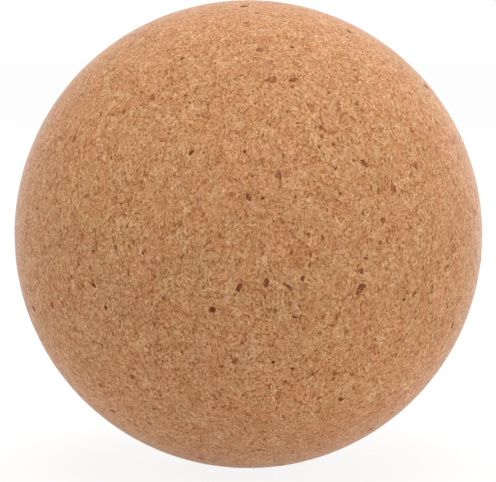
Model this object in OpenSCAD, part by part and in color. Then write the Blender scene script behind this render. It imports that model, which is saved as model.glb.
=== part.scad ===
// Massage ball of agglomerated cork.
//
// The ball is one block of fine cork granulate, pressed with a binder and sanded round.
// Hard grains of bark lie bonded in it, cut flush with its surface, and open pores are
// left where a granule was torn out by the sanding.
//
// Millimetres, +Z up, with the origin at the centre of the ball. The front faces -Y.
// A mark is a bark grain or a pore. Its place is an azimuth, 0 at the front and growing
// to the right, and an elevation above the equator, both in degrees. Its turn runs from
// the horizontal, counter-clockwise as seen from outside the ball.

/* [Ball] */
// Diameter of the ball over its sanded surface
ball_d = 65; // [50:1:80]

/* [Bark grains] */
// Length of a typical bark grain
grain_length = 1.4; // [0.8:0.1:2]
// Width of a typical bark grain
grain_width = 0.9; // [0.5:0.1:1.4]
// Depth that a bark grain reaches into the ball
grain_depth = 0.9; // [0.5:0.1:2]
// Number of corners round a bark grain's outline
grain_corners = 7; // [5:1:9]
// How far the corners of an outline are broken back, as a share of its radius
grain_chipping = 0.3; // [0.05:0.05:0.4]
// Thickness of the binder between a bark grain and its pocket
bond_line = 0.03; // [0.02:0.01:0.08]

/* [Open pores] */
// Length of a typical pore
pore_length = 0.9; // [0.7:0.1:1.6]
// Width of a typical pore
pore_width = 0.55; // [0.4:0.05:0.8]
// Depth of a pore, as a share of its width
pore_deepness = 0.48; // [0.2:0.02:0.48]

/* [Scatter over the back] */
// Number of evenly spread sites round the whole ball, of which those off the front are used
sites = 64; // [24:2:90]
// Half angle of the front, where each grain and pore is placed by hand
front_angle = 66; // [60:1:80]
// Furthest that a scattered site strays from its even place, in degrees
stray = 6; // [0:1:8]
// Seed of the scatter
scatter_seed = 11; // [1:1:99]

/* [Hidden] */
$fn = 256;

ball_r = ball_d / 2;
golden_angle = 180 * (3 - sqrt(5));
front_elevation = 6;
size_spread = [0.75, 1.35]; // sizes of scattered marks, as shares of the typical ones
overcut = grain_depth; // how far a cutter stands out past the surface
bite_spacing = 0.7; // furthest that a pore's bites lie apart, as a share of its width
bite_sizes = [1, 0.75, 0.85, 0.7]; // widths of a pore's bites in turn, as shares of its width

// Marks on the front, each as azimuth, elevation, length, width and turn. The length and
// width are shares of the typical ones.
front_grains = [
    [26, -7, 1.55, 1.45, 70],
    [7, 43, 1.45, 1.55, 15],
    [14, 43, 1.3, 0.8, 8],
    [4, -5, 1, 1, 95],
    [-2, -6, 0.85, 1.1, 60],
    [36, 15, 1, 1.1, 120],
    [45, 20, 0.95, 1.2, 80],
    [26, -3, 0.8, 0.9, 130],
    [0, 14, 0.95, 0.8, 105],
    [7, 19, 0.95, 0.8, 85],
    [29, 21, 0.95, 0.9, 135],
    [19, 30, 0.7, 0.8, 140],
    [32, 8, 0.65, 0.8, 20],
    [-29, 38, 0.7, 0.8, 80],
    [32, 36, 0.65, 0.8, 90],
];
front_pores = [
    [-8, -11, 0.9, 1.3, 70],
    [9, -6, 1.3, 0.9, 140],
    [12, -4, 0.8, 0.9, 90],
    [27, -36, 1, 1.1, 150],
    [-38, -7, 1.1, 0.9, 150],
    [-35, -12, 0.9, 1.1, 85],
    [11, -26, 0.8, 0.9, 165],
    [6, -24, 0.7, 0.9, 160],
    [42, -9, 0.9, 0.9, 75],
    [-14, 24, 1, 0.9, 50],
];

// The parts of a mark
function azimuth(mark) = mark[0];
function elevation(mark) = mark[1];
function share_of_length(mark) = mark[2];
function share_of_width(mark) = mark[3];
function turn(mark) = mark[4];

// Unit vector from the centre towards a mark
function outward(mark) = [
    sin(azimuth(mark)) * cos(elevation(mark)),
    -cos(azimuth(mark)) * cos(elevation(mark)),
    sin(elevation(mark))
];

// True for a mark outside the front, where the scatter is used
function off_front(mark) = outward(mark) * outward([0, front_elevation]) < cos(front_angle);

// A mark at a site of an even spiral from pole to pole, strayed a little from its place
function scattered_mark(i) = let (
    strays = rands(-stray, stray, 2, scatter_seed + i),
    shares = rands(size_spread[0], size_spread[1], 2, scatter_seed + sites + i),
    turn_here = rands(0, 180, 1, scatter_seed + 2 * sites + i)[0]
) [
    golden_angle * i + strays[0],
    asin(1 - (2 * i + 1) / sites) * (1 - stray / 90) + strays[1],
    shares[0],
    shares[1],
    turn_here
];

// Every second site holds a bark grain, and the ones between hold pores
function marks_off_front(first_site) = [
    for (i = [first_site : 2 : sites - 1])
        if (off_front(scattered_mark(i))) scattered_mark(i)
];
grains = concat(front_grains, marks_off_front(0));
pores = concat(front_pores, marks_off_front(1));

// Outline of a bark grain: an oval with its corners broken back at random
function grain_outline(length, width, seed) = let (
    reach = rands(1 - grain_chipping, 1, grain_corners, seed),
    step = 360 / grain_corners
) [
    for (k = [0 : grain_corners - 1])
        reach[k] / 2 * [length * cos(step * k), width * sin(step * k)]
];

// Children that are drawn round the origin move to a mark's place, +Z outwards
module at_mark(mark) {
    rotate([0, 0, azimuth(mark)])
        rotate([90 - elevation(mark), 0, 0])
            translate([0, 0, ball_r])
                rotate([0, 0, turn(mark)])
                    children();
}

// The bark grains as uncut prisms, grown on every side but the top by a margin
module grain_prisms(margin) {
    for (i = [0 : len(grains) - 1])
        at_mark(grains[i])
            translate([0, 0, -grain_depth - margin])
                linear_extrude(grain_depth + margin + overcut)
                    polygon(grain_outline(
                        share_of_length(grains[i]) * grain_length + 2 * margin,
                        share_of_width(grains[i]) * grain_width + 2 * margin,
                        scatter_seed + i
                    ));
}

// One round bite out of the surface, centred on the origin
module bite(width) {
    depth = pore_deepness * width;
    bite_r = (width * width / 4 + depth * depth) / (2 * depth);
    translate([0, 0, bite_r - depth])
        sphere(bite_r, $fn = 32);
}

// One open pore: a row of bites that run into each other, as many as its length needs
module pore_cutter(length, width) {
    run = max(length - width, 0);
    spacings = ceil(run / (bite_spacing * width));
    for (i = [0 : spacings])
        translate([spacings == 0 ? 0 : run * (i / spacings - 1 / 2), 0, 0])
            bite(width * bite_sizes[i % len(bite_sizes)]);
}

// The block of pressed granulate
module cork_ball() {
    color("#be8a61")
        difference() {
            sphere(ball_r);
            grain_prisms(bond_line);
            for (pore = pores)
                at_mark(pore)
                    pore_cutter(
                        share_of_length(pore) * pore_length,
                        share_of_width(pore) * pore_width
                    );
        }
}

// The bark grains, bonded in their pockets and cut flush with the ball
module bark_grains() {
    color("#7a4a33")
        intersection() {
            sphere(ball_r);
            grain_prisms(0);
        }
}

cork_ball();
bark_grains();
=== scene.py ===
"""Looks of the massage ball of agglomerated cork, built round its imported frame.

The ball is one block of fine cork granulate, pressed with a binder and sanded round. Hard
grains of bark lie bonded in it, and open pores are left where a granule was torn out.

Lengths are in metres and the frame is the model's own: +Z up, the origin at the centre of
the ball, and the front facing -Y. Sizes that a maker gives in millimetres are written as a
number times MM.
"""

import logging
import math
import random
from dataclasses import dataclass, field
from enum import Enum
from typing import Iterable, Union

import bpy
import numpy as np
from mathutils import Matrix, Vector


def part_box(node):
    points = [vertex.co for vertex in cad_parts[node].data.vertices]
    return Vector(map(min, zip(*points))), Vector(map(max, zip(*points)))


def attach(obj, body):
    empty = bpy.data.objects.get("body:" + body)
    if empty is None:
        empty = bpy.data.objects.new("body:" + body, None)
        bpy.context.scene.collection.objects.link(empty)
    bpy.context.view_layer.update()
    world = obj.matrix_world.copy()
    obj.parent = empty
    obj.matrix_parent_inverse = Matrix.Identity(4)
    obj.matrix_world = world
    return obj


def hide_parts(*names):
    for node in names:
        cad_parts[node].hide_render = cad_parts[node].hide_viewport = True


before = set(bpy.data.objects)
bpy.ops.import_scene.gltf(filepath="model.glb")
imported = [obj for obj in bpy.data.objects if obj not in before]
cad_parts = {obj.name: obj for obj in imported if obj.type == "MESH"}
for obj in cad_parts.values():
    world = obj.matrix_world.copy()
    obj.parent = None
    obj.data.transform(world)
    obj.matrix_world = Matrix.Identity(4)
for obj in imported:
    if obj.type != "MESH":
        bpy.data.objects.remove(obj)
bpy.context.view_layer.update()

MM = 0.001
WELD = 0.0005 * MM  # points that lie closer than this become one
BODY = "root"
BAKE_MAP = "OFBake"

log = logging.getLogger("massage_ball")

Plug = Union[bpy.types.NodeSocket, float, tuple]


# ---------------------------------------------------------------------------- helpers


def linear(hex_colour: str) -> tuple[float, float, float, float]:
    """Turn an sRGB colour into the linear one that the nodes work in.

    Args:
        hex_colour: the colour as "#rrggbb".

    Returns:
        Red, green, blue and alpha, each from 0 to 1.
    """
    channels = [int(hex_colour[i : i + 2], 16) / 255 for i in (1, 3, 5)]
    red, green, blue = (
        c / 12.92 if c <= 0.04045 else ((c + 0.055) / 1.055) ** 2.4 for c in channels
    )
    return red, green, blue, 1.0


def add_node(
    tree: bpy.types.NodeTree,
    kind: str,
    plugs: dict[Union[str, int], Plug],
    **settings: object,
) -> bpy.types.Node:
    """Add one node to a tree with its settings, values and links.

    Args:
        tree: the shader or geometry tree that gets the node.
        kind: the node's type name.
        plugs: what goes into each input, by the input's name or number.
        settings: the node's own settings, by name.

    Returns:
        The new node.
    """
    node = tree.nodes.new(kind)
    for name, value in settings.items():
        setattr(node, name, value)
    for key, plug in plugs.items():
        if isinstance(plug, bpy.types.NodeSocket):
            tree.links.new(plug, node.inputs[key])
        else:
            node.inputs[key].default_value = plug
    return node


def math_of(tree: bpy.types.NodeTree, operation: str, *plugs: Plug) -> Plug:
    """Return the number that an operation makes of its inputs."""
    node = add_node(tree, "ShaderNodeMath", dict(enumerate(plugs)), operation=operation)
    return node.outputs[0]


def vector_math_of(
    tree: bpy.types.NodeTree, operation: str, *plugs: Plug, result: str = "Vector"
) -> Plug:
    """Return the vector, or the result "Value", that an operation makes of its inputs."""
    node = add_node(tree, "ShaderNodeVectorMath", dict(enumerate(plugs)), operation=operation)
    return node.outputs[result]


def map_range(
    tree: bpy.types.NodeTree,
    value: Plug,
    old: tuple[Plug, Plug] = (0.0, 1.0),
    new: tuple[Plug, Plug] = (0.0, 1.0),
) -> Plug:
    """Return a value brought from its old range to a new one, and kept within that."""
    plugs = dict(enumerate((value, *old, *new)))
    return add_node(tree, "ShaderNodeMapRange", plugs).outputs[0]


def noise(
    tree: bpy.types.NodeTree, place: Plug, scale: float, detail: float, result: str = "Fac"
) -> Plug:
    """Return soft noise, read at a place, as a number or as the result "Color"."""
    plugs = {"Vector": place, "Scale": scale, "Detail": detail}
    return add_node(tree, "ShaderNodeTexNoise", plugs).outputs[result]


def weighted_sum(
    tree: bpy.types.NodeTree, start: float, terms: Iterable[tuple[Plug, Plug]]
) -> Plug:
    """Add up several patterns, each times its own weight.

    Args:
        tree: the tree that gets the nodes.
        start: the number that the sum starts from.
        terms: the patterns' outputs with their weights, which may be outputs too.

    Returns:
        The output that carries the sum.
    """
    total: Plug = start
    for pattern, weight in terms:
        total = math_of(tree, "MULTIPLY_ADD", pattern, weight, total)
    return total


def fill_ramp(ramp: bpy.types.ColorRamp, tones: tuple[tuple[float, str], ...]) -> None:
    """Put tones on a colour ramp.

    Args:
        ramp: the new ramp, which still has its two first stops.
        tones: each tone's place on the ramp and its hex colour, from first to last.
    """
    ends = ramp.elements
    for element, (position, tone) in zip((ends[0], ends[1]), (tones[0], tones[-1])):
        element.position, element.color = position, linear(tone)
    for position, tone in tones[1:-1]:
        ends.new(position).color = linear(tone)


def new_material(
    name: str,
) -> tuple[bpy.types.Material, bpy.types.NodeTree, bpy.types.Node, Plug]:
    """Start a material: return it, its tree, its surface shader and the place on the piece."""
    material = bpy.data.materials.new(name)
    material.use_nodes = True
    tree = material.node_tree
    place = add_node(tree, "ShaderNodeTexCoord", {}).outputs["Object"]
    return material, tree, tree.nodes["Principled BSDF"], place


def seen_directly(tree: bpy.types.NodeTree) -> Plug:
    """Return 1 for a ray from the camera, or one off or through something glossy."""
    path = add_node(tree, "ShaderNodeLightPath", {})
    camera, glossy, through = (
        path.outputs[f"Is {kind} Ray"] for kind in ("Camera", "Glossy", "Transmission")
    )
    return math_of(tree, "MAXIMUM", math_of(tree, "MAXIMUM", camera, glossy), through)


def deselect_all() -> None:
    """Leave edit mode and deselect every object."""
    if bpy.context.object and bpy.context.object.mode != "OBJECT":
        bpy.ops.object.mode_set(mode="OBJECT")
    bpy.ops.object.select_all(action="DESELECT")


def make_active(piece: bpy.types.Object) -> None:
    """Select one object alone and make it the active one."""
    deselect_all()
    piece.select_set(True)
    bpy.context.view_layer.objects.active = piece


def join_into_one(parts: list[bpy.types.Object], name: str) -> bpy.types.Object:
    """Join meshes into one object that sits at the origin with its place in its mesh.

    Args:
        parts: the mesh objects to join, which are used up.
        name: what the joined object is called.

    Returns:
        The joined object.
    """
    deselect_all()
    for part in parts:
        part.select_set(True)
    bpy.context.view_layer.objects.active = parts[0]
    bpy.ops.object.transform_apply(location=True, rotation=True, scale=True)
    if len(parts) > 1:
        bpy.ops.object.join()
    whole = bpy.context.object
    whole.name = whole.data.name = name
    return whole


def apply_modifier(piece: bpy.types.Object, kind: str, **settings: object) -> None:
    """Put a modifier on an object and apply it.

    Args:
        piece: the mesh object.
        kind: the modifier's type name.
        settings: the modifier's own settings, by name.
    """
    make_active(piece)
    modifier = piece.modifiers.new(kind.lower(), kind)
    for name, value in settings.items():
        setattr(modifier, name, value)
    bpy.ops.object.modifier_apply(modifier=modifier.name)


def copy_of_node(node: str, name: str) -> bpy.types.Object:
    """Copy a CAD node's mesh with its loose triangles merged into closed solids.

    Args:
        node: the CAD node's name.
        name: what the copy is called.

    Returns:
        The copy, at the origin.
    """
    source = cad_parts[node]
    piece = bpy.data.objects.new(name, source.data.copy())
    piece.data.name = name
    piece.data.materials.clear()
    bpy.context.scene.collection.objects.link(piece)
    make_active(piece)
    bpy.ops.object.mode_set(mode="EDIT")
    bpy.ops.mesh.select_all(action="SELECT")
    bpy.ops.mesh.remove_doubles(threshold=WELD)
    bpy.ops.object.mode_set(mode="OBJECT")
    return piece


class Reshaping:
    """A geometry nodes tree that moves a mesh's points, to be applied as a modifier."""

    def __init__(self, name: str) -> None:
        """Start a tree with its place and normal inputs ready."""
        self.tree = bpy.data.node_groups.new(name, "GeometryNodeTree")
        self.tree.is_modifier = True
        for way in ("INPUT", "OUTPUT"):
            self.tree.interface.new_socket(
                "Geometry", in_out=way, socket_type="NodeSocketGeometry"
            )
        self.place = add_node(self.tree, "GeometryNodeInputPosition", {}).outputs[0]
        self.normal = add_node(self.tree, "GeometryNodeInputNormal", {}).outputs[0]

    def scaled(self, vector: Plug, factor: Plug) -> Plug:
        """Return a vector times a factor."""
        return add_node(
            self.tree, "ShaderNodeVectorMath", {0: vector, "Scale": factor}, operation="SCALE"
        ).outputs[0]

    def moved(self, place: Plug, along: Plug, distance: Plug) -> Plug:
        """Return a place moved some distance along a direction."""
        return vector_math_of(self.tree, "ADD", place, self.scaled(along, distance))

    def radius_of(self, place: Plug) -> Plug:
        """Return how far a place lies from the centre of the ball."""
        return vector_math_of(self.tree, "LENGTH", place, result="Value")

    def outward_of(self, place: Plug) -> Plug:
        """Return the direction from the centre of the ball to a place."""
        return vector_math_of(self.tree, "NORMALIZE", place)

    def rough_height(self, place: Plug, grain_size: float, height: float) -> Plug:
        """Return a random height, from minus to plus half of the one given.

        Args:
            place: where the height is read.
            grain_size: how wide the bumps are.
            height: from the lowest to the highest bump.
        """
        bumps = noise(self.tree, place, 1 / grain_size, detail=2.0)
        return weighted_sum(self.tree, -height, [(bumps, 2 * height)])

    def apply(self, piece: bpy.types.Object, place: Plug) -> None:
        """Move a mesh's points to their new place and drop the tree.

        Args:
            piece: the mesh object to reshape.
            place: the output with each point's new place.
        """
        start = add_node(self.tree, "NodeGroupInput", {}).outputs[0]
        moved = add_node(
            self.tree, "GeometryNodeSetPosition", {"Geometry": start, "Position": place}
        ).outputs[0]
        add_node(self.tree, "NodeGroupOutput", {0: moved})
        apply_modifier(piece, "NODES", node_group=self.tree)
        bpy.data.node_groups.remove(self.tree)


# --------------------------------------------------------------------------- finishes


@dataclass(frozen=True)
class Specks:
    """Small marks of one kind, scattered through the granulate at random."""

    spacing: float  # how far apart their sites lie
    share: float  # how many of the sites hold one
    radius: float  # radius of the largest, as a share of the spacing
    softness: float  # how wide the edge is, as a share of the spacing
    stretch: float  # how much longer than wide they are, upright
    strength: float  # how far they darken the tone or cover the colour, from 0 to 1


@dataclass(frozen=True)
class Sanding:
    """How a sanded surface takes the light, with a soft bright edge and fine bumps."""

    ior: float
    sheen: float
    sheen_roughness: float
    bump: float
    bump_height: float

    def apply(
        self,
        tree: bpy.types.NodeTree,
        shader: bpy.types.Node,
        colour: Plug,
        roughness: Plug,
        height: Plug,
    ) -> None:
        """Set up a material's surface shader.

        Args:
            tree: the material's tree.
            shader: its surface shader.
            colour: the surface's colour.
            roughness: how matt it is.
            height: the pattern that stands out as bumps.
        """
        for name, value in (
            ("IOR", self.ior),
            ("Sheen Weight", self.sheen),
            ("Sheen Roughness", self.sheen_roughness),
        ):
            shader.inputs[name].default_value = value
        normal = add_node(
            tree,
            "ShaderNodeBump",
            {"Height": height, "Strength": self.bump, "Distance": self.bump_height},
        ).outputs["Normal"]
        for name, plug in (("Base Color", colour), ("Roughness", roughness), ("Normal", normal)):
            tree.links.new(plug, shader.inputs[name])


@dataclass(frozen=True)
class CorkGranulate:
    """Agglomerated cork: fine granulate pressed with a clear binder, sanded and left bare.

    Each granule was cut at its own angle through the bark, so its tone, its fine growth
    lines and its hue are its own. Thin dark gaps lie between granules where the binder
    did not fill, crumbs of darker bark are mixed in, and the sanded cells are matt with
    a soft bright edge towards the light. What lies below the sanded surface, in pores,
    pits and round the grains, is painted darker the deeper it lies, as painted shade.
    """

    coarse_granule: float = 1.6 * MM
    fine_granule: float = 0.52 * MM
    dust_granule: float = 0.2 * MM
    outline_wander: float = 0.38  # how far outlines stray, as a share of a granule
    outline_bends: float = 1.5  # bends of an outline in one granule's width
    press_stretch: float = 1.22  # how much longer granules are upright than across
    flow: tuple[float, float] = (9.0 * MM, 2.5 * MM)  # size and reach of the bends in them
    growth_line: tuple[float, float] = (0.17 * MM, 0.75 * MM)  # across and along
    patch_size: float = 4.0 * MM  # of the faint lighter and darker patches
    gap_width: float = 0.085 * MM  # between one granule and the next
    gap_breaks: tuple[float, float] = (0.52, 0.62)  # noise where a gap is closed and open
    break_rate: float = 1.3  # breaks of a gap in one granule's width
    groove_width: float = 2.0  # of the grooves between coarse granules, in gap widths
    groove_depth: float = 0.035 * MM
    granule_step: float = 0.03 * MM  # from the lowest coarse granule to the highest

    # How far each pattern changes the tone, which is a place on the ramp of tones.
    middle_tone: float = 0.562
    patch_tone: float = 0.045
    coarse_tone: float = 0.08
    fine_tone: float = 0.14
    line_tone: float = 0.22
    dust_tone: tuple[float, float] = (0.15, 0.47)  # least and most, by coarse granule
    coarse_gap_tone: float = 0.26
    fine_gap_tone: float = 0.28
    strokes: Specks = Specks(
        spacing=0.55 * MM, share=0.6, radius=0.38, softness=0.18, stretch=2.2, strength=0.36
    )
    ticks: Specks = Specks(
        spacing=0.4 * MM, share=0.5, radius=0.4, softness=0.17, stretch=2.3, strength=0.34
    )
    crumbs: Specks = Specks(
        spacing=1.5 * MM, share=0.15, radius=0.3, softness=0.06, stretch=1.2, strength=0.7
    )
    flakes: Specks = Specks(
        spacing=3.5 * MM, share=0.03, radius=0.15, softness=0.04, stretch=2.2, strength=0.6
    )

    tones: tuple[tuple[float, str], ...] = (
        (0.05, "#80472a"),
        (0.2, "#975f33"),
        (0.35, "#a87245"),
        (0.5, "#bc875d"),
        (0.65, "#d1a078"),
        (0.85, "#e9bc97"),
    )
    crumb_colour: str = "#82380f"
    flake_colour: str = "#cfb076"
    red_tint: str = "#ffebe8"
    red_share: float = 0.65  # how much of the tint the reddest coarse granule has
    red_from: float = 0.3  # share of the coarse granules that have none of it
    yellow_tint: str = "#fffbd2"
    yellow_share: float = 0.5  # how much of the tint the yellowest fine granule has
    # Painted shade: pores, pits and the bond lines round the grains are darkened towards this
    # colour, the deeper they lie, in place of the shade in these hollows.
    painted_shade_colour: str = "#7d3c08"
    painted_shade_share: float = 0.9  # how much of the painted shade colour the deepest hollow has
    painted_shade_depths: tuple[float, float] = (0.08 * MM, 0.23 * MM)  # depths where the painted shade begins and is full
    roughness: float = 0.82
    roughness_spread: float = 0.12  # from the lightest, smoothest tone to the darkest
    sanding: Sanding = Sanding(
        ior=1.3, sheen=0.4, sheen_roughness=0.3, bump=0.3, bump_height=0.06 * MM
    )

    def granules(
        self, tree: bpy.types.NodeTree, place: Plug, size: float
    ) -> tuple[Plug, Plug, Plug]:
        """Fill space with irregular granules of one size.

        The shape of the ball and its colours both use this, so that they agree.

        Args:
            tree: the shader or geometry tree that gets the nodes.
            place: where the pattern is read.
            size: how wide a granule is.

        Returns:
            A colour that is random for each granule, how deep inside its granule a place
            lies, and how far it lies from the granule's middle, both in granule widths.
        """
        wander = noise(tree, place, self.outline_bends / size, detail=1.0, result="Color")
        reach = self.outline_wander * size
        shifted = vector_math_of(tree, "MULTIPLY_ADD", wander, (reach, reach, reach), place)
        inputs = {"Vector": shifted, "Scale": 1 / size}
        cells = add_node(tree, "ShaderNodeTexVoronoi", inputs)
        inside = add_node(
            tree, "ShaderNodeTexVoronoi", inputs, feature="DISTANCE_TO_EDGE"
        ).outputs["Distance"]
        return cells.outputs["Color"], inside, cells.outputs["Distance"]

    def flowing(self, tree: bpy.types.NodeTree, place: Plug) -> Plug:
        """Return the place where every pattern is read, so that all bend the same way."""
        size, reach = self.flow
        bends = noise(tree, place, 1 / size, detail=0.0, result="Color")
        return vector_math_of(tree, "MULTIPLY_ADD", bends, (reach, reach, reach), place)

    def squeezed(self, tree: bpy.types.NodeTree, place: Plug, stretch: float) -> Plug:
        """Return the place where a pattern is read that is stretched upright."""
        return vector_math_of(tree, "MULTIPLY", place, (1.0, 1.0, 1 / stretch))

    def relief(self, tree: bpy.types.NodeTree, place: Plug) -> Plug:
        """Return how far the sanded surface lies above or below its mean, in metres.

        Args:
            tree: the geometry tree that gets the nodes.
            place: where the height is read.
        """
        pressed = self.squeezed(tree, self.flowing(tree, place), self.press_stretch)
        colour, inside, _ = self.granules(tree, pressed, self.coarse_granule)
        edge = self.gap_width / self.coarse_granule * self.groove_width
        groove = map_range(tree, inside, (0.0, edge), (-1.0, 0.0))
        return weighted_sum(
            tree,
            -self.granule_step / 2,
            [(groove, self.groove_depth), (colour, self.granule_step)],
        )

    def growth_lines(self, tree: bpy.types.NodeTree, place: Plug, turn: Plug) -> Plug:
        """Return the fine lines of a granule, turned its own way.

        Args:
            tree: the shader tree that gets the nodes.
            place: where the pattern is read.
            turn: the granule's random colour, which sets the turn.
        """
        angles = add_node(
            tree, "ShaderNodeVectorMath", {0: turn, "Scale": math.tau}, operation="SCALE"
        ).outputs[0]
        turned = add_node(
            tree,
            "ShaderNodeVectorRotate",
            {"Vector": place, "Rotation": angles},
            rotation_type="EULER_XYZ",
        ).outputs[0]
        across, along = self.growth_line
        stretched = vector_math_of(
            tree, "MULTIPLY", turned, (1 / across, 1 / across, 1 / along)
        )
        return add_node(
            tree, "ShaderNodeTexVoronoi", {"Vector": stretched, "Scale": 1.0}
        ).outputs["Color"]

    def material(self, surface_radius: float) -> bpy.types.Material:
        """Build the cork's material.

        Args:
            surface_radius: radius of the sanded surface; what lies deeper is painted darker, as
                painted shade in a hollow.

        Returns:
            The material.
        """
        material, tree, shader, place = new_material("sanded_agglomerated_cork")
        laid = self.flowing(tree, place)
        pressed = self.squeezed(tree, laid, self.press_stretch)

        coarse, coarse_inside, _ = self.granules(tree, pressed, self.coarse_granule)
        coarse_channels = add_node(tree, "ShaderNodeSeparateColor", {"Color": coarse})
        fine, fine_inside, _ = self.granules(tree, pressed, self.fine_granule)
        dust, _, _ = self.granules(tree, pressed, self.dust_granule)
        lines = self.growth_lines(tree, pressed, coarse)
        patches = noise(tree, place, 1 / self.patch_size, detail=2.0)
        coarse_gaps = self.gaps(tree, pressed, coarse_inside, self.coarse_granule)
        fine_gaps = self.gaps(tree, pressed, fine_inside, self.fine_granule)
        dust_tone = map_range(tree, coarse_channels.outputs["Red"], new=self.dust_tone)
        weights = (
            (patches, self.patch_tone),
            (coarse, self.coarse_tone),
            (fine, self.fine_tone),
            (lines, self.line_tone),
        )
        start = self.middle_tone - sum(weight for _, weight in weights) / 2
        darker = (
            (coarse_gaps, -self.coarse_gap_tone),
            (fine_gaps, -self.fine_gap_tone),
            (self.scattered(tree, laid, self.strokes), -1.0),
            (self.scattered(tree, laid, self.ticks), -1.0),
        )
        even_dust = math_of(tree, "SUBTRACT", dust, 0.5)
        tone = weighted_sum(tree, start, (*weights, *darker, (even_dust, dust_tone)))
        ramp = add_node(tree, "ShaderNodeValToRGB", {"Fac": tone})
        fill_ramp(ramp.color_ramp, self.tones)
        colour = ramp.outputs["Color"]

        redness = coarse_channels.outputs["Blue"]
        red_share = map_range(tree, redness, (self.red_from, 1.0), (0.0, self.red_share))
        colour = self.mixed(tree, colour, self.red_tint, red_share, "MULTIPLY")
        yellowness = add_node(tree, "ShaderNodeSeparateColor", {"Color": fine}).outputs["Blue"]
        yellow_share = math_of(tree, "MULTIPLY", yellowness, self.yellow_share)
        colour = self.mixed(tree, colour, self.yellow_tint, yellow_share, "MULTIPLY")

        for specks, speck_colour in (
            (self.flakes, self.flake_colour),
            (self.crumbs, self.crumb_colour),
        ):
            colour = self.mixed(tree, colour, speck_colour, self.scattered(tree, laid, specks))

        # Painted shade: the deeper a place lies below the sanded surface, in a pore, a pit or
        # round a grain, the darker it is painted.
        radius = vector_math_of(tree, "LENGTH", place, result="Value")
        begins, full = (surface_radius - depth for depth in self.painted_shade_depths)
        painted_pore_shade = map_range(tree, radius, (begins, full), (0.0, self.painted_shade_share))
        colour = self.mixed(tree, colour, self.painted_shade_colour, painted_pore_shade)
        roughness = weighted_sum(
            tree, self.roughness + self.roughness_spread / 2, [(tone, -self.roughness_spread)]
        )
        self.sanding.apply(tree, shader, colour, roughness, height=tone)
        return material

    def mixed(
        self,
        tree: bpy.types.NodeTree,
        colour: Plug,
        other: str,
        share: Plug,
        blend: str = "MIX",
    ) -> Plug:
        """Mix a colour with another one by a share that varies.

        Args:
            tree: the shader tree that gets the node.
            colour: the colour so far.
            other: the other colour, in hex.
            share: how much of the other colour there is, from 0 to 1.
            blend: how the two are mixed.

        Returns:
            The mixed colour.
        """
        return add_node(
            tree,
            "ShaderNodeMix",
            {"Factor": share, 6: colour, 7: linear(other)},
            data_type="RGBA",
            blend_type=blend,
        ).outputs[2]

    def gaps(self, tree: bpy.types.NodeTree, place: Plug, inside: Plug, size: float) -> Plug:
        """Return the share of dark gap between granules, broken up along its length.

        Args:
            tree: the shader tree that gets the nodes.
            place: where the pattern is read.
            inside: how deep inside its granule a place lies, in granule widths.
            size: how wide a granule is.
        """
        line = map_range(tree, inside, (0.0, self.gap_width / size), (1.0, 0.0))
        breaks = noise(tree, place, self.break_rate / size, detail=1.0)
        open_here = map_range(tree, breaks, self.gap_breaks)
        return math_of(tree, "MULTIPLY", line, open_here)

    def scattered(self, tree: bpy.types.NodeTree, place: Plug, specks: Specks) -> Plug:
        """Return how strongly a place is covered by specks, from 0 to their strength.

        Args:
            tree: the shader tree that gets the nodes.
            place: where the pattern is read.
            specks: how large and how many the specks are.
        """
        squeezed = self.squeezed(tree, place, specks.stretch)
        colour, _, distance = self.granules(tree, squeezed, specks.spacing)
        chance = add_node(tree, "ShaderNodeSeparateColor", {"Color": colour}).outputs["Red"]
        radius = map_range(tree, chance, (1 - specks.share, 1.0), (0.0, specks.radius))
        within = math_of(tree, "SUBTRACT", radius, distance)
        return map_range(tree, within, (0.0, specks.softness), (0.0, specks.strength))


@dataclass(frozen=True)
class SandedBark:
    """Hard outer bark of the cork oak, sanded flush: reddish brown, matt, and streaked.

    The eye reads it as small dark splinters, no two of one tone, with level streaks in
    them and with specks of cork that cling to them and blur their outlines.
    """

    streak: tuple[float, float] = (0.15 * MM, 0.7 * MM)  # across and along
    grain_spacing: float = 3.55 * MM  # how far apart grains may differ in tone
    tone_start: float = -0.17
    streak_tone: float = 0.9
    grain_tone: float = 0.42
    tones: tuple[tuple[float, str], ...] = ((0.3, "#7d4225"), (0.5, "#914f2b"), (0.8, "#b27450"))
    speck: float = 0.3 * MM  # of the cork that clings to the bark
    speck_edge: tuple[float, float] = (0.58, 0.66)  # noise where a speck begins and is full
    cork: str = "#b67f50"
    roughness: float = 0.72
    streak_roughness: float = 0.15  # how much rougher the lightest streaks are
    sanding: Sanding = Sanding(
        ior=1.3, sheen=0.06, sheen_roughness=0.45, bump=0.3, bump_height=0.05 * MM
    )

    def material(self) -> bpy.types.Material:
        """Build the bark's material."""
        material, tree, shader, place = new_material("sanded_cork_oak_bark")
        across, along = self.streak
        stretched = add_node(
            tree,
            "ShaderNodeMapping",
            {"Vector": place, "Scale": (1 / along, 1 / across, 1 / across)},
        ).outputs[0]
        streaks = noise(tree, stretched, 1.0, detail=2.0)
        grain = add_node(
            tree, "ShaderNodeTexVoronoi", {"Vector": place, "Scale": 1 / self.grain_spacing}
        ).outputs["Color"]
        tone = weighted_sum(
            tree, self.tone_start, [(streaks, self.streak_tone), (grain, self.grain_tone)]
        )
        ramp = add_node(tree, "ShaderNodeValToRGB", {"Fac": tone})
        fill_ramp(ramp.color_ramp, self.tones)
        specks = noise(tree, place, 1 / self.speck, detail=2.0)
        clinging = map_range(tree, specks, self.speck_edge)
        colour = add_node(
            tree,
            "ShaderNodeMix",
            {"Factor": clinging, 6: ramp.outputs["Color"], 7: linear(self.cork)},
            data_type="RGBA",
        ).outputs[2]
        roughness = weighted_sum(tree, self.roughness, [(streaks, self.streak_roughness)])
        self.sanding.apply(tree, shader, colour, roughness, height=streaks)
        return material


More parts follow.
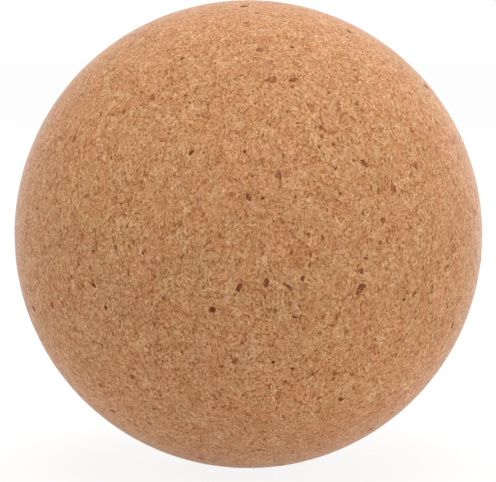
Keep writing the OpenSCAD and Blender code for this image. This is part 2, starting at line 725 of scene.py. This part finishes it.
@dataclass(frozen=True)
class StudioPaper:
    """Matt white paper of a light table, all but white to the camera.

    Light comes up through it, so the ball's underside isn't lost in the dark. In front of the
    ball the table has a dim spot, which shades the ball's front below its middle.
    """

    white: str = "#ffffff"
    own_white: float = 0.88  # how much of the white is seen whatever light falls on it
    underglow: float = 0.5  # how much of the light that it gives comes up through it
    dim_spot: tuple[float, float] = (-8 * MM, -59 * MM)  # its middle, from the ball's foot
    dim_reach: float = 42 * MM  # how far from its middle the table is dim
    dim_light: float = 0.1  # share of the light that comes up at its middle
    roughness: float = 0.9
    specular: float = 0.1

    def material(self) -> bpy.types.Material:
        """Build the paper's material, which still shows the shadow that falls on it."""
        material, tree, shader, place = new_material("matt_white_paper")
        shader.inputs["Base Color"].default_value = linear(self.white)
        shader.inputs["Roughness"].default_value = self.roughness
        shader.inputs["Specular IOR Level"].default_value = self.specular
        spot = (*self.dim_spot, 0.0)
        off_spot = vector_math_of(tree, "DISTANCE", place, spot, result="Value")
        light = map_range(tree, off_spot, (0.0, self.dim_reach), (self.dim_light, 1.0))
        seen = seen_directly(tree)
        strength = map_range(tree, seen, new=(light, 1.0))
        glow = add_node(
            tree, "ShaderNodeEmission", {"Color": linear(self.white), "Strength": strength}
        )
        share = map_range(tree, seen, new=(self.underglow, self.own_white))
        mix = add_node(
            tree, "ShaderNodeMixShader", {0: share, 1: shader.outputs[0], 2: glow.outputs[0]}
        )
        tree.links.new(mix.outputs[0], tree.nodes["Material Output"].inputs["Surface"])
        return material


# ------------------------------------------------------------------------------ marks


class MarkKind(Enum):
    """What a mark in the ball's surface is."""

    GRAIN = "bark grain"
    PORE = "open pore"


@dataclass
class Mark:
    """One mark of the CAD model: where it lies on the ball and how large it is."""

    kind: MarkKind
    outward: Vector
    lengthways: Vector
    length: float
    width: float
    depth: float

    def matrix(self, surface_radius: float) -> Matrix:
        """Return the place on the surface, with X along the mark and Z outwards."""
        sideways = self.outward.cross(self.lengthways)
        turn = Matrix((self.lengthways, sideways, self.outward)).transposed().to_4x4()
        return Matrix.Translation(self.outward * surface_radius) @ turn


def find_marks(node: str, surface_radius: float) -> list[Mark]:
    """Find the pockets and pores in the CAD ball, by its points below the surface.

    Args:
        node: the CAD node's name.
        surface_radius: radius of the ball's surface.

    Returns:
        The marks, deepest first.
    """
    skin = 0.06 * MM  # what lies less deep is the sanded surface
    reach = 1.4 * MM  # farther than any mark reaches from its deepest point
    pocket_depth = 0.6 * MM  # deeper than any pore, and less deep than any pocket
    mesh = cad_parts[node].data
    points = np.empty(len(mesh.vertices) * 3)
    mesh.vertices.foreach_get("co", points)
    points = points.reshape(-1, 3)
    depths = surface_radius - np.linalg.norm(points, axis=1)
    below = depths > skin
    points, depths = points[below], depths[below]
    marks = []
    while len(points):
        seed = points[depths.argmax()]
        near = np.linalg.norm(points - seed, axis=1) < reach
        group, depth = points[near], depths[near].max()
        middle = Vector(((group.min(0) + group.max(0)) / 2).tolist())
        outward = middle.normalized()
        flat = (group - group.mean(0)) @ (np.eye(3) - np.outer(outward, outward))
        _, _, axes = np.linalg.svd(flat, full_matrices=False)
        lengthways = Vector(axes[0].tolist())
        lengthways = (lengthways - outward * lengthways.dot(outward)).normalized()
        sideways = outward.cross(lengthways)
        marks.append(
            Mark(
                kind=MarkKind.GRAIN if depth > pocket_depth else MarkKind.PORE,
                outward=outward,
                lengthways=lengthways,
                length=float(np.ptp(group @ np.array(lengthways))),
                width=float(np.ptp(group @ np.array(sideways))),
                depth=float(depth),
            )
        )
        points, depths = points[~near], depths[~near]
    return marks


# ------------------------------------------------------------------------- sub-assemblies


@dataclass
class BarkGrains:
    """The hard bark grains, bonded in their pockets and sanded flush with the ball."""

    surface_radius: float
    facet: float = 0.1 * MM  # of the mesh that the grains are made of
    edge_bump: float = 0.3 * MM  # how wide the bumps along the broken edges are
    edge_roughness: float = 0.26 * MM  # from the lowest bump to the highest
    bond_line: float = 0.015 * MM  # binder between a grain and its pocket
    opening: float = 0.6 * MM  # how far the cutter's top is drawn out of the surface
    mouth: tuple[float, float] = (0.2 * MM, 0.08 * MM)  # depths where that begins and is full
    cutter_share: float = 0.45  # of the grains' facets, which the cutter keeps
    smooth_angle: float = 40.0  # degrees, above which an edge stays sharp
    finish: SandedBark = field(default_factory=SandedBark)

    def build(self) -> bpy.types.Object:
        """Make the grains from the CAD solids, with broken edges and a worn top."""
        grains = copy_of_node("bark_grains", "bark_grain_chips")
        apply_modifier(grains, "REMESH", mode="VOXEL", voxel_size=self.facet)
        shape = Reshaping("broken_edges")
        rough = shape.rough_height(shape.place, self.edge_bump, self.edge_roughness)
        moved = shape.moved(shape.place, shape.normal, rough)
        radius = math_of(shape.tree, "MINIMUM", shape.radius_of(moved), self.surface_radius)
        shape.apply(grains, shape.scaled(shape.outward_of(moved), radius))
        return grains

    def pocket_cutter(self, grains: bpy.types.Object) -> bpy.types.Object:
        """Make what cuts the grains' pockets: the grains, swollen and open at the top."""
        cutter = grains.copy()
        cutter.data = grains.data.copy()
        cutter.name = "pocket_cutter"
        bpy.context.scene.collection.objects.link(cutter)
        apply_modifier(cutter, "DECIMATE", ratio=self.cutter_share)
        shape = Reshaping("swollen_pocket")
        swollen = shape.moved(shape.place, shape.normal, self.bond_line)
        radius = shape.radius_of(shape.place)
        bottom, top = (self.surface_radius - depth for depth in self.mouth)
        lift = map_range(shape.tree, radius, (bottom, top), (0.0, self.opening))
        shape.apply(cutter, shape.moved(swollen, shape.outward_of(shape.place), lift))
        return cutter

    def dress(self, grains: bpy.types.Object) -> None:
        """Give the grains their finish and their place in the model."""
        make_active(grains)
        bpy.ops.object.shade_smooth_by_angle(angle=math.radians(self.smooth_angle))
        grains.data.materials.append(self.finish.material())
        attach(grains, BODY)
        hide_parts("bark_grains")


@dataclass
class CorkBall:
    """The block of pressed granulate, with granules in relief, pockets, pores and pits."""

    surface_radius: float
    divisions: int = 108  # facets along each of the twelve edges of the cube it starts as
    pore_size: tuple[float, float, float] = (0.6, 0.6, 1.1)  # half sizes, in those of the mark
    pore_bump: float = 0.35 * MM  # how wide the bumps of a torn rim are
    pore_roughness: float = 0.14 * MM  # from the lowest bump to the highest
    pits: int = 240
    pit_width: tuple[float, float] = (0.22 * MM, 0.5 * MM)
    pit_length: tuple[float, float] = (0.6, 1.1)  # half of it, in widths
    pit_depth: float = 0.5  # in widths
    pit_stray: tuple[float, float] = (0.8, 0.1)  # upwards in half spacings, round in radians
    pit_seed: int = 7
    smooth_angle: float = 35.0  # degrees, above which an edge stays sharp
    finish: CorkGranulate = field(default_factory=CorkGranulate)

    def sanded_block(self) -> bpy.types.Object:
        """Make the ball with its granules in relief, as a cube blown up to a sphere.

        Returns:
            The ball, whose facets are all nearly the same size.
        """
        deselect_all()
        bpy.ops.mesh.primitive_cube_add(size=2 * self.surface_radius)
        block = bpy.context.object
        block.name = block.data.name = "cork_granulate_ball"
        bpy.ops.object.mode_set(mode="EDIT")
        bpy.ops.mesh.subdivide(number_cuts=self.divisions - 1)
        bpy.ops.object.mode_set(mode="OBJECT")
        shape = Reshaping("sanded_round")
        angles = shape.scaled(shape.place, math.pi / 4 / self.surface_radius)
        outward = shape.outward_of(vector_math_of(shape.tree, "TANGENT", angles))
        on_surface = shape.scaled(outward, self.surface_radius)
        height = self.finish.relief(shape.tree, on_surface)
        shape.apply(block, shape.moved(on_surface, outward, height))
        return block

    def blob(self, place: Matrix, size: Vector, rounds: int) -> bpy.types.Object:
        """Add a round blob that cuts one pore or pit.

        Args:
            place: where the blob's middle lies, with Z outwards.
            size: its half sizes along its own axes.
            rounds: how many times the blob's facets are divided.

        Returns:
            The blob.
        """
        bpy.ops.mesh.primitive_ico_sphere_add(subdivisions=rounds, radius=1.0)
        blob = bpy.context.object
        blob.matrix_world = place @ Matrix.Diagonal(size.to_4d())
        return blob

    def pore_cutter(self, marks: list[Mark]) -> bpy.types.Object:
        """Make what cuts the open pores, each with a ragged rim.

        Args:
            marks: the pores of the CAD model.

        Returns:
            The cutters as one object.
        """
        along, across, down = self.pore_size
        blobs = []
        for mark in marks:
            size = Vector((mark.length * along, mark.width * across, mark.depth * down))
            blobs.append(self.blob(mark.matrix(self.surface_radius), size, rounds=3))
        return self.roughened(join_into_one(blobs, "pore_cutter"))

    def pit_cutter(self) -> bpy.types.Object:
        """Make what cuts the many fine pits, scattered evenly over the ball."""
        draw = random.Random(self.pit_seed)
        golden_angle = math.pi * (3 - math.sqrt(5))
        rise, swing = self.pit_stray
        blobs = []
        for i in range(self.pits):
            height = 1 - (2 * i + 1 + draw.uniform(-rise, rise)) / self.pits
            around = golden_angle * i + draw.uniform(-swing, swing)
            level = math.sqrt(max(0.0, 1 - height * height))
            outward = Vector((level * math.cos(around), level * math.sin(around), height))
            turn = outward.to_track_quat("Z", "X").to_matrix().to_4x4()
            spin = Matrix.Rotation(draw.uniform(0, math.tau), 4, "Z")
            place = Matrix.Translation(outward * self.surface_radius) @ turn @ spin
            width = draw.uniform(*self.pit_width)
            half_length = width * draw.uniform(*self.pit_length)
            size = Vector((half_length, width / 2, width * self.pit_depth))
            blobs.append(self.blob(place, size, rounds=1))
        return self.roughened(join_into_one(blobs, "pit_cutter"))

    def roughened(self, cutter: bpy.types.Object) -> bpy.types.Object:
        """Make a cutter's surface uneven, so that what it cuts looks torn."""
        shape = Reshaping("torn_edge")
        rough = shape.rough_height(shape.place, self.pore_bump, self.pore_roughness)
        shape.apply(cutter, shape.moved(shape.place, shape.normal, rough))
        return cutter

    def cut(self, block: bpy.types.Object, cutter: bpy.types.Object) -> None:
        """Cut the block with a cutter, and delete the cutter."""
        apply_modifier(
            block, "BOOLEAN", operation="DIFFERENCE", solver="MANIFOLD", object=cutter
        )
        bpy.data.objects.remove(cutter)

    def unwrap(self, block: bpy.types.Object) -> None:
        """Lay the ball's map out as the six sides of a cube, three across and two up."""
        mesh = block.data
        points = np.empty(len(mesh.vertices) * 3)
        mesh.vertices.foreach_get("co", points)
        points = points.reshape(-1, 3)
        corners = np.empty(len(mesh.loops), dtype=np.int64)
        mesh.loops.foreach_get("vertex_index", corners)
        counts = np.empty(len(mesh.polygons), dtype=np.int64)
        mesh.polygons.foreach_get("loop_total", counts)
        face_of = np.repeat(np.arange(len(counts)), counts)
        middles = np.stack(
            [np.bincount(face_of, points[corners, k]) / counts for k in range(3)], axis=1
        )
        axis = np.abs(middles).argmax(1)
        sign = np.sign(middles[np.arange(len(axis)), axis])
        side = (axis + 3 * (sign < 0))[face_of]
        axis, sign = axis[face_of], sign[face_of]
        at = points[corners]
        every = np.arange(len(at))
        main = np.abs(at[every, axis])
        across = at[every, (axis + 1) % 3] * sign / main
        up = at[every, (axis + 2) % 3] / main
        margin = 0.02
        flat = np.stack([np.arctan(across), np.arctan(up)], axis=1) / (math.pi / 4)
        tile = (flat * (1 - margin) + 1) / 2
        spots = (tile + np.stack([side % 3, side // 3], axis=1)) / np.array([3, 2])
        layer = mesh.uv_layers.get(BAKE_MAP) or mesh.uv_layers.new(name=BAKE_MAP)
        layer.data.foreach_set("uv", spots.astype(np.float32).ravel())

    def build(self, pocket_cutter: bpy.types.Object) -> bpy.types.Object:
        """Make the whole ball.

        Args:
            pocket_cutter: what cuts the bark grains' pockets.

        Returns:
            The ball.
        """
        block = self.sanded_block()
        marks = find_marks("cork_ball", self.surface_radius)
        pores = [mark for mark in marks if mark.kind is MarkKind.PORE]
        log.info("marks: %d pores and %d pockets", len(pores), len(marks) - len(pores))
        self.cut(block, pocket_cutter)
        self.cut(block, self.pore_cutter(pores))
        self.cut(block, self.pit_cutter())
        self.unwrap(block)
        return block

    def dress(self, block: bpy.types.Object) -> None:
        """Give the ball its finish and its place in the model."""
        make_active(block)
        bpy.ops.object.shade_smooth_by_angle(angle=math.radians(self.smooth_angle))
        block.data.materials.clear()
        block.data.materials.append(self.finish.material(self.surface_radius))
        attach(block, BODY)
        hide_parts("cork_ball")


@dataclass
class Lamp:
    """A soft square lamp that faces the middle of the ball."""

    name: str
    azimuth: float  # degrees, 0 at the front and growing to the right
    elevation: float  # degrees above the horizon
    distance: float  # metres from the middle of the ball
    size: float  # metres along each edge
    watts: float


@dataclass
class Studio:
    """The studio: a paper floor in a white tent, soft lamps and the camera."""

    floor_height: float
    floor_size: float = 6.0
    world_strength: float = 0.88
    opening: tuple[float, float] = (-36.0, -16.0)  # middle of the tent's dark opening, degrees
    opening_falloff: float = 2.0  # how fast the tent closes round its opening
    dark_core: float = 0.82  # openness from which the tent gives no light at all
    lens: float = 150.0
    camera_elevation: float = 6.0  # degrees
    camera_distance: float = 289.0 * MM
    aim: tuple[float, float] = (-0.05 * MM, -0.95 * MM)  # across and up from the middle
    lamps: tuple[Lamp, ...] = (
        Lamp("top_lamp", azimuth=0, elevation=82, distance=0.7, size=0.5, watts=2.7),
        Lamp("rim_lamp", azimuth=140, elevation=35, distance=0.7, size=0.5, watts=1.15),
    )
    paper: StudioPaper = field(default_factory=StudioPaper)

    def direction(self, azimuth: float, elevation: float) -> Vector:
        """Return the unit vector from the ball towards a place round it, in degrees."""
        around, above = math.radians(azimuth), math.radians(elevation)
        level = math.cos(above)
        return Vector((math.sin(around) * level, -math.cos(around) * level, math.sin(above)))

    def build_floor(self) -> None:
        """Lay the paper under the ball."""
        deselect_all()
        bpy.ops.mesh.primitive_plane_add(
            size=self.floor_size, location=(0, 0, self.floor_height)
        )
        floor = bpy.context.object
        floor.name = "paper_floor"
        floor.data.materials.append(self.paper.material())

    def build_lamps(self) -> None:
        """Hang the lamps round the ball."""
        for lamp in self.lamps:
            data = bpy.data.lights.new(lamp.name, "AREA")
            data.energy = lamp.watts
            data.size = lamp.size
            source = bpy.data.objects.new(lamp.name, data)
            towards = self.direction(lamp.azimuth, lamp.elevation)
            source.location = towards * lamp.distance
            source.rotation_mode = "QUATERNION"
            source.rotation_quaternion = towards.to_track_quat("Z", "Y")
            bpy.context.scene.collection.objects.link(source)

    def build_world(self) -> None:
        """Put up a white tent that glows but for its opening, and looks white to the camera."""
        world = bpy.data.worlds.new("white_tent")
        world.use_nodes = True
        tree = world.node_tree
        background = tree.nodes["Background"]
        background.inputs["Color"].default_value = linear("#ffffff")
        looking = add_node(tree, "ShaderNodeTexCoord", {}).outputs["Generated"]
        opening = tuple(self.direction(*self.opening))
        facing = vector_math_of(tree, "DOT_PRODUCT", looking, opening, result="Value")
        open_side = math_of(tree, "MAXIMUM", facing, 0.0)
        openness = math_of(tree, "POWER", open_side, self.opening_falloff)
        glow = map_range(tree, openness, (0.0, self.dark_core), (self.world_strength, 0.0))
        strength = map_range(tree, seen_directly(tree), new=(glow, 1.0))
        tree.links.new(strength, background.inputs["Strength"])
        bpy.context.scene.world = world

    def build_camera(self) -> None:
        """Set up the camera in front of the ball, looking slightly down on it."""
        data = bpy.data.cameras.new("camera")
        data.lens = self.lens
        data.clip_start = 10 * MM
        camera = bpy.data.objects.new("camera", data)
        back = self.direction(0, self.camera_elevation)
        camera.rotation_mode = "QUATERNION"
        camera.rotation_quaternion = back.to_track_quat("Z", "Y")
        across, up = self.aim
        camera.location = back * self.camera_distance + Vector((across, 0, up))
        bpy.context.scene.collection.objects.link(camera)
        bpy.context.scene.camera = camera

    def build(self) -> None:
        """Set up the whole studio."""
        self.build_camera()
        self.build_floor()
        self.build_lamps()
        self.build_world()
        bpy.context.scene.view_settings.view_transform = "Standard"


def report(piece: bpy.types.Object) -> None:
    """Log a finished piece's name and number of triangles."""
    piece.data.calc_loop_triangles()
    log.info("%s: %d triangles", piece.name, len(piece.data.loop_triangles))


def write_sizes() -> None:
    """Bring the scene's placements up to date."""
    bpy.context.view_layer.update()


def main() -> None:
    """Build the ball, its bark grains and the studio."""
    lowest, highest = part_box("cork_ball")
    radius = (highest.z - lowest.z) / 2
    Studio(floor_height=lowest.z).build()
    bark = BarkGrains(surface_radius=radius)
    grains = bark.build()
    ball = CorkBall(surface_radius=radius)
    block = ball.build(bark.pocket_cutter(grains))
    ball.dress(block)
    bark.dress(grains)
    report(block)
    report(grains)
    write_sizes()


if __name__ == "__main__":
    logging.basicConfig(level=logging.INFO, format="%(name)s: %(message)s")
    main()
